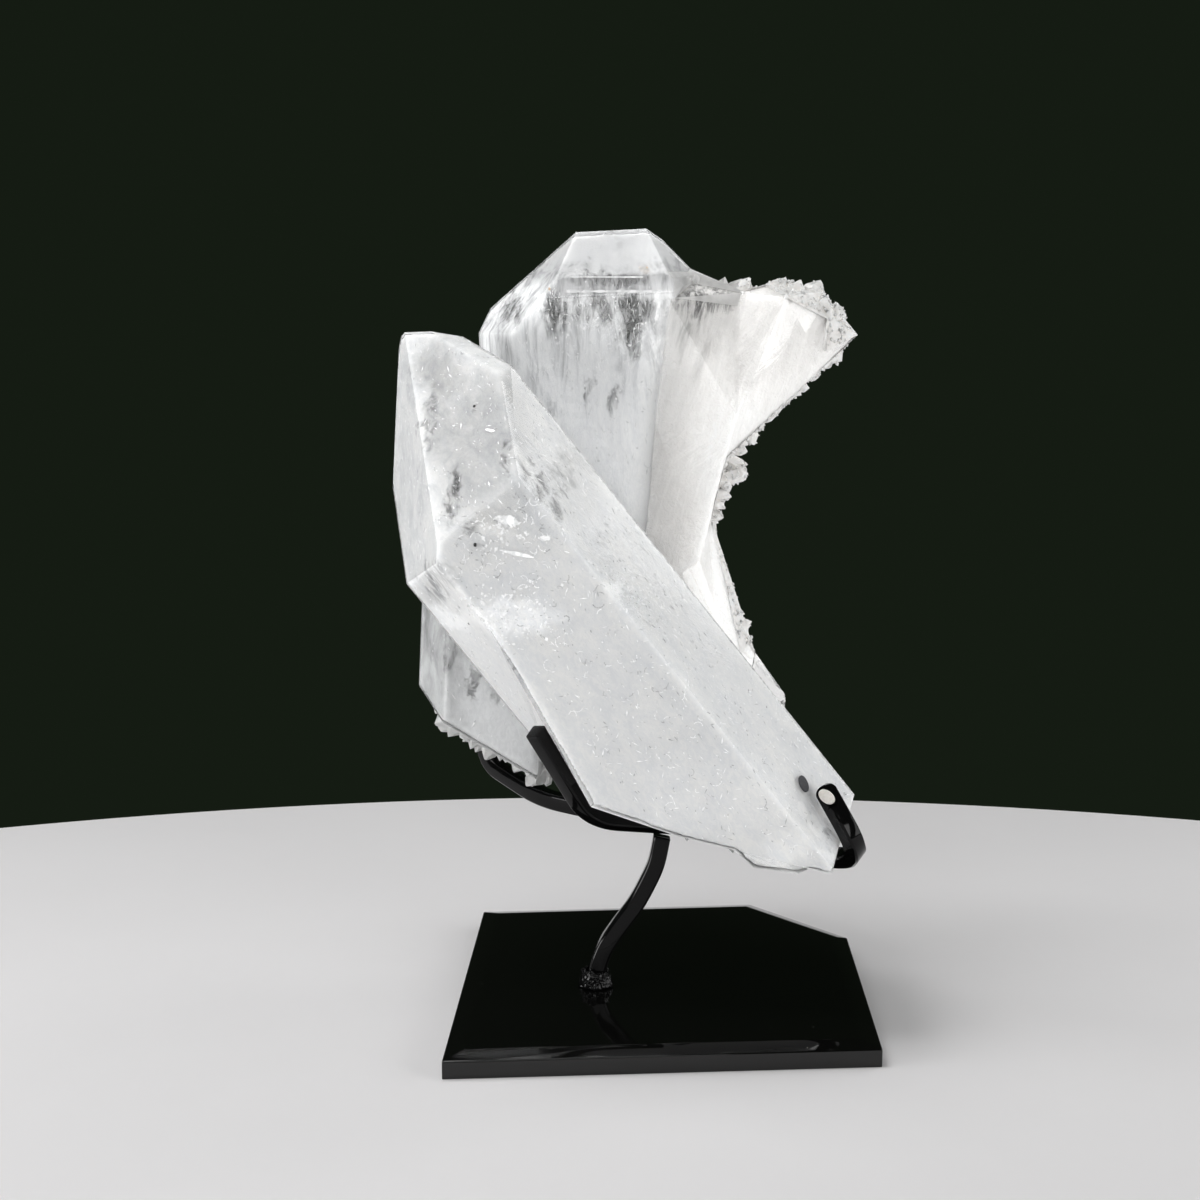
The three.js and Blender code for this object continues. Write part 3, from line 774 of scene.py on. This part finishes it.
# Painted light and shade on the front milk: positive spots lighten it around the bright flake clouds, low down and at
# the toe; negative spots darken its lamp-lit upper part.
FRONT_PAINTED_LIGHT_AND_SHADE = (
    ((-51, -40, 155), (16, 60, 8), 0.34), ((-17, -37, 163.5), (4, 12, 4.5), 0.35), ((-58, -30, 184), (8, 60, 3), 0.15),
    ((-75, -20, 150), (10, 60, 5), 0.2), ((-65, -30, 213), (18, 60, 28), -0.26), ((-81, -20, 240), (11, 60, 11), -0.3),
    ((-81, -40, 222), (4.5, 60, 16), -0.15), ((-30, -30, 198), (12, 14, 16), -0.1), ((60, -42, 76), (8, 14, 8), 0.3),
    ((20, -48, 90), (34, 14, 16), 0.06), ((43, -50, 70), (10, 14, 7), 0.14), ((-83, -25, 161), (6, 60, 8), -0.14),
)
REAR_WINDOWS = (
    ((-39.7, 30, 258), (4.6, 60, 9), 0.6), ((-21, 30, 261), (22, 60, 8), 0.5), ((-8.5, 30, 259), (6, 60, 9), 0.5),
    ((-10.6, 30, 250), (5, 60, 8), 0.6), ((-37, 30, 223), (4, 60, 6), 0.4), ((-26.5, 30, 229.5), (2.6, 60, 6), 0.5),
    ((-16, 30, 225), (2.6, 60, 8), 0.5), ((-18, 30, 272.3), (18, 60, 2.8), 0.6), ((-55, 30, 262), (5, 60, 9), 0.5), ((-22, 20, 287), (34, 60, 10), -0.9),
)
FAN_WINDOWS = (((5, 20, 256), (9, 40, 14), 0.3), ((18, 20, 264), (14, 40, 8), 0.75), ((13, 20, 246), (9, 40, 14), 0.4))
# Painted shade: spots that darken the fan milk at its lamp-lit top.
FAN_PAINTED_SHADE = (((43, 14, 258), (12, 30, 12), -0.08), ((34, 14, 240), (7, 30, 14), -0.12), ((16, 14, 258), (16, 40, 14), -0.16))
LEFT_WINDOWS = (((-71, 5, 122), (2.2, 40, 4), 0.65), ((-70, 5, 116), (2.4, 40, 3), 0.55), ((-61.5, 5, 116), (2.6, 40, 5), 0.55),
                ((-78, 5, 132), (4, 40, 9), 0.45))
# Painted shade: the front milk darkens towards the crystal's top, which the lamp above lights strongly.
milk_body("milk_front", ["front", "lip", "heel"], 0.7, 1.1,
          haze_finish("milk_front_finish", AXES["front"], (90, 45), (130, 205), 0.9, 0.14, 1.0, ICE, FRONT_WINDOWS,
                      0.1, 0.006, ((AXES["front"], 150, 215, 1.0, 0.94),), FRONT_PAINTED_LIGHT_AND_SHADE), 1)
# Painted light and shade: the rear milk is lighter low down and at its right edge, where the front crystal and the fan
# shade it, and darker on its top slope, which the lamps above light and mirror. Its left slopes are a little darker for
# their greyer quartz.
milk_body("milk_rear", ["rear"], 0.8, 1.2,
          haze_finish("milk_rear_finish", AXES["rear"], (170, 40), (195, 262), 0.72, 0.32, 1.0, PALE, REAR_WINDOWS,
                      0.12, 0.006, ((UP, 200, 250, 1.14, 1.01), (UP, 266, 276, 1.0, 0.57), (RIGHTWARD, -64, -44, 0.9, 1.0),
                                    (RIGHTWARD, -16, 2, 1.0, 1.22))), 2)
# Painted light and shade: the fan milk is darker at its top, which the lamp above lights strongly, and lighter low
# down. Its left part is darker, partly for its greyer quartz and partly as painted shade.
milk_body("milk_fan", ["middle", "right", "lower"], 0.4, 1.1,
          haze_finish("milk_fan_finish", AXES["fan"], (190, 12), (235, 300), 0.9, 0.2, 1.0, WARM, FAN_WINDOWS, 0.6, 0.006,
                      ((UP, 195, 262, 1.1, 0.94), (RIGHTWARD, -2, 24, 0.8, 1.06)), FAN_PAINTED_SHADE), 4, 6, (0.6, 5))
# Painted shade: the left milk is darker on its left side, which the lamp on the left lights strongly.
milk_body("milk_left", ["left"], 0.7, 1.2,
          haze_finish("milk_left_finish", AXES["left"], (70, 36), (60, 150), 0.75, 0.3, 1.0, DULL, LEFT_WINDOWS, 0.12,
                      0.006, ((RIGHTWARD, -84, -68, 0.66, 1.0),)), 5)

# %% [markdown]
# ## Veils
#
# In the clear upper parts hang veils: old growth faces dusted with bubbles, and healed cracks. Each veil is
# a ghost of the crystal at some depth, rippled by noise, thin where a stretched noise is low and whitish
# where it is high. Several of them behind each other give the depth that one painted layer could not.

# %% Veils
def veils(name, source, depths, cell, above, ripple, finish, seed):
    """Rippled ghosts at several depths, kept only above a height along the crystal."""
    along = Vector(CRYSTALS[source]["axis"]).normalized()
    joined = bmesh.new()
    for number, depth in enumerate(depths):
        ghost = remeshed(ghost_mesh(PLANES[source], depth, name), cell, name)
        joined.from_mesh(ruffled(ghost, ripple, 16, seed + number))
    low = [f for f in joined.faces if along.dot(f.calc_center_median()) / MM < above]
    bmesh.ops.delete(joined, geom=low, context="FACES")
    mesh = to_mesh(joined, name, 180)
    print(name, "faces", len(mesh.polygons))
    return add_piece(name, mesh, finish)


VEIL = ((0.44, 0.445, 0.455), (0.58, 0.58, 0.583))
veils("veils_front", "front", (4,), 2.0, 112, 1.6,
      haze_finish("veil_front", AXES["front"], (85, 34), (120, 250), 0.6, 0.5, 0.9, VEIL, FRONT_WINDOWS), 31)
veils("veils_front_deep", "front", (11,), 2.4, 112, 2.2,
      haze_finish("veil_front_deep", AXES["front"], (60, 60), (120, 250), 0.35, 0.5, 0.6, VEIL), 35)
veils("veils_rear", "rear", (4,), 2.0, 185, 2.0,
      haze_finish("veil_rear", AXES["rear"], (130, 32), (195, 275), 0.5, 0.55, 0.8, VEIL, REAR_WINDOWS), 41)
veils("veils_rear_deep", "rear", (10,), 2.4, 185, 2.4,
      haze_finish("veil_rear_deep", AXES["rear"], (180, 40), (195, 275), 0.3, 0.55, 0.5, VEIL, REAR_WINDOWS), 45)
veils("veils_left", "left", (4,), 2.0, 70, 1.5,
      haze_finish("veil_left", AXES["left"], (120, 14), (90, 190), 0.6, 0.5, 0.8, VEIL), 51)

# %% [markdown]
# ## Cracks, flakes and needles
#
# Healed cracks show as white sheets, partly the white of their bubbles and partly a painted glint, and bubbles line up
# as short needles along the crystal.
# Cracks are bent sheets with ragged rims. Flakes and needles are tiny flattened or drawn-out octahedra, which
# are closed bodies with only eight faces, so hundreds of them cost little.

# %% Cracks
UNDER_SKIN = 0.06


def depth_in(planes, point):
    """How deep a point in mm lies inside a crystal."""
    return min(distance - direction.dot(point) for direction, distance in planes)


def glint_finish(name, most, scale):
    finish, tree, out, place = new_finish(name)
    threads = cloud(tree, place, scale, 6, 0.6, 1.2, "RIDGED_MULTIFRACTAL")
    patches = cloud(tree, place, scale * 0.35, 4)
    alpha = maths(tree, "MULTIPLY", ramp(tree, threads, 0.45, 1.1), ramp(tree, patches, 0.35, 0.62, 0, most))
    tone = two_tone(tree, patches, (0.86, 0.865, 0.875), (0.98, 0.98, 0.985))
    body = link_nodes(tree, "BsdfPrincipled", Base_Color=tone, Roughness=0.2, Alpha=alpha, IOR=1.6)
    tree.links.new(body.outputs[0], out.inputs[0])
    return finish


def bent_sheet(solid, centre, facing, width, height, bend, rng, cells=16):
    """A bent sheet with a ragged rim. All lengths are in mm."""
    facing = Vector(facing).normalized()
    side = facing.cross(Vector((0.2, 0.1, 1))).normalized()
    up = facing.cross(side)
    seed = Vector([rng.uniform(0, 50) for _ in range(3)])
    grid = {}

    def spot(i, j):
        u, v = 2 * i / cells - 1, 2 * j / cells - 1
        wave = noise.noise(Vector((u, v, 0)) * 1.6 + seed)
        lift = bend * (u * u + 0.6 * v * v) + wave * bend * 0.6
        return (Vector(centre) + side * u * width / 2 + up * v * height / 2 + facing * lift) * MM

    for i in range(cells):
        for j in range(cells):
            u, v = (2 * i + 1) / cells - 1, (2 * j + 1) / cells - 1
            rim = 0.8 + 0.45 * noise.noise(Vector((math.atan2(v, u) * 1.2, 0, 0)) + seed)
            if u * u + v * v > rim:
                continue
            loop = []
            for corner in ((i, j), (i + 1, j), (i + 1, j + 1), (i, j + 1)):
                if corner not in grid:
                    grid[corner] = solid.verts.new(spot(*corner))
                loop.append(grid[corner])
            solid.faces.new(loop)


crack_rng = random.Random(5)
CRACK_DEPTH = 0.5
CRACKS = (
    ((-51, -40, 156), (0.1, -0.8, 0.6), 34, 20, 3), ((-60, -36, 148), (-0.2, -0.7, 0.7), 24, 14, 2),
    ((-40, -38, 160), (0.3, -0.7, 0.6), 26, 13, 2), ((-54, -41, 182), (0.1, -0.6, 0.8), 20, 9, 2),
    ((-50, -36, 190), (-0.3, -0.7, 0.6), 16, 12, 3), ((-16, -36, 163), (0.5, -0.6, 0.6), 18, 22, 2),
    ((-9, -34, 152), (0.6, -0.5, 0.6), 13, 20, 2), ((-35, -30, 190), (0.6, -0.6, 0.5), 10, 30, 1.5),
    ((-66, -36, 206), (-0.2, -0.9, 0.3), 14, 20, 2), ((-24, 22, 236), (0.2, -0.9, 0.2), 18, 34, 2),
    ((-34, 24, 222), (-0.3, -0.9, 0.2), 16, 26, 2), ((-8, 22, 226), (0.4, -0.9, 0.1), 13, 30, 2),
)
# Partly painted glint: the crack sheets are white all over, not only where a lamp mirrors in them.
crack_solid = bmesh.new()
for centre, facing, width, height, bend in CRACKS:
    bent_sheet(crack_solid, centre, facing, width, height, bend, crack_rng)
poking = [v for v in crack_solid.verts
          if max(depth_in(PLANES[name], v.co / MM) for name in ("front", "rear")) < CRACK_DEPTH]
bmesh.ops.delete(crack_solid, geom=poking, context="VERTS")
cracks = add_piece("cracks", to_mesh(crack_solid, "cracks", 180), glint_finish("crack_glint", 0.75, 160))
# A painted glint: a small white sheet inside the rear crystal, where a lamp flashes on its face.
glint_solid = bmesh.new()
bent_sheet(glint_solid, (0.2, 17.5, 260.5), (-0.35, -0.9, 0.1), 2.0, 10, 0.3, crack_rng)
glint = add_piece("edge_glint", to_mesh(glint_solid, "edge_glint", 180), glint_finish("edge_glint_white", 1.6, 500))
print("crack faces:", len(cracks.data.polygons))

# %% Flakes and needles
def add_gem(solid, centre, a, b, c):
    """A closed octahedron with three half axes."""
    ends = [solid.verts.new(centre + arm) for arm in (a, -a, b, -b, c, -c)]
    for x, y, z in ((0, 2, 4), (2, 1, 4), (1, 3, 4), (3, 0, 4), (2, 0, 5), (1, 2, 5), (3, 1, 5), (0, 3, 5)):
        solid.faces.new((ends[x], ends[y], ends[z]))


def random_arm(rng):
    return Vector([rng.gauss(0, 1) for _ in range(3)]).normalized()


def needles(solid, source, box, depth, count, length, width, wander, rng):
    """Scatters needles along a crystal's length inside a box, between two depths under its skin."""
    along = Vector(AXES[source]).normalized()
    placed = 0
    while placed < count:
        point = Vector([rng.uniform(low, high) for low, high in zip(*box)])
        if not depth[0] < depth_in(PLANES[source], point) < depth[1]:
            continue
        line = (along + random_arm(rng) * wander).normalized()
        side = line.cross(random_arm(rng)).normalized()
        long, thin = rng.uniform(*length) / 2 * MM, rng.uniform(*width) / 2 * MM
        if min(depth_in(PLANES[source], point + line * sign * long / MM) for sign in (-1, 1)) < UNDER_SKIN:
            continue
        add_gem(solid, point * MM, line * long, side * thin, line.cross(side) * thin * 0.5)
        placed += 1


def flakes(solid, source, centre, spread, count, size, rng):
    """Scatters thin flakes in a loose heap inside a crystal."""
    placed = 0
    while placed < count:
        point = Vector([rng.gauss(c, d) for c, d in zip(centre, spread)])
        if not 0.12 < depth_in(PLANES[source], point) < 0.65:
            continue
        facing = (PLANES[source][0][0] + random_arm(rng) * 0.2).normalized()
        side = facing.cross(random_arm(rng)).normalized()
        wide = rng.uniform(*size) / 2 * MM
        add_gem(solid, point * MM, side * wide, facing.cross(side) * wide * rng.uniform(0.3, 0.9), facing * wide * 0.06)
        placed += 1


def curls(solid, source, box, depth, count, radius, width, rng):
    """Scatters short arcs that lie along the front wall of a crystal."""
    wall = PLANES[source][0][0]
    placed = 0
    while placed < count:
        point = Vector([rng.uniform(low, high) for low, high in zip(*box)])
        if not depth[0] < depth_in(PLANES[source], point) < depth[1]:
            continue
        bend, thin = rng.uniform(*radius) * MM, rng.uniform(*width) / 2 * MM
        start, sweep = rng.uniform(0, 2 * math.pi), rng.uniform(1.2, 3.4)
        side = wall.orthogonal().normalized()
        spokes = [Matrix.Rotation(start + sweep * step / 6, 3, wall) @ side for step in range(7)]
        if min(depth_in(PLANES[source], point + spoke * bend / MM) for spoke in spokes) < UNDER_SKIN:
            continue
        for a, b in zip(spokes, spokes[1:]):
            run = (b - a) * bend * 0.6
            out_of = (a + b).normalized()
            add_gem(solid, point * MM + (a + b) * bend / 2, run, out_of * thin, wall * thin * 0.5)
        placed += 1


def fleck_finish(name, dark, light):
    finish, tree, out, place = new_finish(name)
    tone = two_tone(tree, ramp(tree, cloud(tree, place, 340, 2), 0.44, 0.5), dark, light)
    body = link_nodes(tree, "BsdfPrincipled", Base_Color=tone, Roughness=0.22, IOR=1.6)
    tree.links.new(body.outputs[0], out.inputs[0])
    return finish


fleck_rng = random.Random(77)
fleck_solid = bmesh.new()
FRONT_BOX = ((-100, -52, 62), (70, 20, 250))
REAR_BOX = ((-62, 10, 190), (20, 60, 270))
needles(fleck_solid, "front", FRONT_BOX, (0.08, 0.5), 4200, (0.8, 3.2), (0.22, 0.48), 0.9, fleck_rng)
needles(fleck_solid, "front", ((-100, -52, 140), (0, 20, 250)), (0.2, 5), 900, (0.8, 3.4), (0.2, 0.5), 0.9, fleck_rng)
needles(fleck_solid, "left", ((-95, 0, 80), (-30, 20, 150)), (0.2, 2), 200, (1.0, 4.5), (0.3, 0.7), 0.6, fleck_rng)
needles(fleck_solid, "front", ((-48, -45, 140), (15, 5, 230)), (0.1, 0.5), 500, (1.0, 4.0), (0.2, 0.45), 0.5, fleck_rng)
curls(fleck_solid, "front", FRONT_BOX, (0.15, 0.5), 260, (0.6, 2.4), (0.2, 0.4), fleck_rng)
curls(fleck_solid, "front", ((-85, -52, 150), (-20, -40, 225)), (0.15, 2), 220, (0.6, 2.6), (0.25, 0.5), fleck_rng)
FLECK_WHITE = (0.97, 0.97, 0.975)
flecks = add_piece("flecks", to_mesh(fleck_solid, "flecks", 20),
                   fleck_finish("fleck_white", (0.36, 0.365, 0.37), FLECK_WHITE))
flake_and_glint_solid = bmesh.new()
flakes(flake_and_glint_solid, "front", (-51, -46, 155), (11, 1.2, 5), 300, (0.4, 1.7), fleck_rng)
flakes(flake_and_glint_solid, "front", (-14, -43, 160), (5, 2.5, 6), 120, (0.4, 1.6), fleck_rng)
flakes(flake_and_glint_solid, "front", (-55, -46, 184), (6, 1.2, 3), 90, (0.4, 1.8), fleck_rng)
flakes(flake_and_glint_solid, "rear", (-24, 17, 240), (12, 2, 16), 160, (0.4, 1.6), fleck_rng)
needles(flake_and_glint_solid, "rear", REAR_BOX, (0.15, 5), 700, (1.2, 6.0), (0.25, 0.55), 0.4, fleck_rng)
needles(flake_and_glint_solid, "rear", REAR_BOX, (0.1, 0.65), 700, (1.2, 4.5), (0.25, 0.5), 0.5, fleck_rng)
curls(flake_and_glint_solid, "rear", REAR_BOX, (0.15, 2), 220, (0.6, 2.4), (0.2, 0.45), fleck_rng)
FLAT_WALL, FRONT_SLOPE = 0, 1
LENSES = (
    ((-54, -47.6, 188.2), FLAT_WALL, 10, 3.6), ((-50.5, -47.9, 176.4), FLAT_WALL, 13, 1.6),
    ((-60.5, -32.8, 218.3), FRONT_SLOPE, 5, 1.2), ((-41, -48.2, 182), FLAT_WALL, 4, 2),
)
for centre, face, width, height in LENSES:
    bent_sheet(flake_and_glint_solid, centre, PLANES["front"][face][0], width, height, 0.12, fleck_rng)
# A painted glint: a small white sheet just under the rear crystal's front face.
bent_sheet(flake_and_glint_solid, (-0.3, 14.6, 260.3), PLANES["rear"][0][0], 1.5, 9, 0.1, fleck_rng)


def ledge_highlight(solid, start, end, height, facing, cells=30):
    """A painted highlight: a thin bright line along a ledge between two points on a wall, its rims wandering a little.
    """
    start, end = Vector(start), Vector(end)
    pairs = []
    for step in range(cells + 1):
        middle = start.lerp(end, step / cells) - facing * LEDGE_DEPTH
        half = Vector((0, 0, height / 2 * (0.8 + 0.7 * noise.noise(middle * 0.35))))
        pairs.append([solid.verts.new((middle + half * way) * MM) for way in (-1, 1)])
    for one, two in zip(pairs, pairs[1:]):
        solid.faces.new((one[0], two[0], two[1], one[1]))


# Painted highlights: two white lines along the ledges under the rear crystal's point.
LEDGE_DEPTH = 0.75
LEDGE_HIGHLIGHTS = (((-32.8, 15.7, 273.0), (-6, 14.1, 272.9), 0.7), ((-34.5, 16, 267.7), (1.2, 13.8, 267.7), 1.1))
for start, end, height in LEDGE_HIGHLIGHTS:
    ledge_highlight(flake_and_glint_solid, start, end, height, PLANES["rear"][0][0])
flake_and_glint_piece = add_piece("flakes", to_mesh(flake_and_glint_solid, "flakes", 20),
                        fleck_finish("flake_and_glint_white", (0.74, 0.745, 0.75), (0.9, 0.9, 0.905)))
print("fleck faces:", len(flecks.data.polygons))

# %% [markdown]
# ## Specks and stain
#
# Three black mineral grains sit just under the front face, and a little iron has stained the ledge under the
# rear crystal's point. They are small lumps and a thin patch, coloured unevenly.

# %% Specks and stain
def lump_finish(name, dark, light):
    finish, tree, out, place = new_finish(name)
    tone = two_tone(tree, ramp(tree, cloud(tree, place, 1500, 3), 0.35, 0.65), dark, light)
    body = link_nodes(tree, "BsdfPrincipled", Base_Color=tone, Roughness=0.5)
    tree.links.new(body.outputs[0], out.inputs[0])
    return finish


def add_lump(solid, centre, size, rng):
    """A small uneven grain. Lengths in mm."""
    ball = bmesh.ops.create_icosphere(solid, subdivisions=2, radius=size / 2 * MM,
                                      matrix=Matrix.Translation(Vector(centre) * MM))
    middle = Vector(centre) * MM
    for vertex in ball["verts"]:
        vertex.co = middle + (vertex.co - middle) * rng.uniform(0.7, 1.2)


speck_rng = random.Random(3)
speck_solid = bmesh.new()
for centre, size in (((-66.7, -24.6, 226.4), 1.0), ((-65.4, -47.0, 179.4), 1.3), ((-68.7, -33.7, 149.7), 0.9),
                     ((-66.5, -47.0, 176.6), 0.5), ((-70.4, -28.3, 147.3), 0.4)):
    add_lump(speck_solid, centre, size, speck_rng)
add_piece("black_specks", to_mesh(speck_solid, "black_specks", 40),
          lump_finish("speck_black", (0.006, 0.006, 0.006), (0.03, 0.028, 0.026)))
stain_solid = bmesh.new()
for centre, size in (((-41, 17.2, 268.6), 1.0), ((-5.4, 16.4, 275.2), 0.9), ((-4.4, 16.6, 276.4), 0.8)):
    add_lump(stain_solid, centre, size, speck_rng)
bent_sheet(stain_solid, (-5.0, 16.2, 275.4), (0, -0.786, 0.618), 5.0, 4.0, 0.2, speck_rng, 12)
stain = add_piece("iron_stain", to_mesh(stain_solid, "iron_stain", 40),
                  lump_finish("stain_tan", (0.62, 0.42, 0.26), (0.78, 0.64, 0.48)))
print("stain faces:", len(stain.data.polygons))
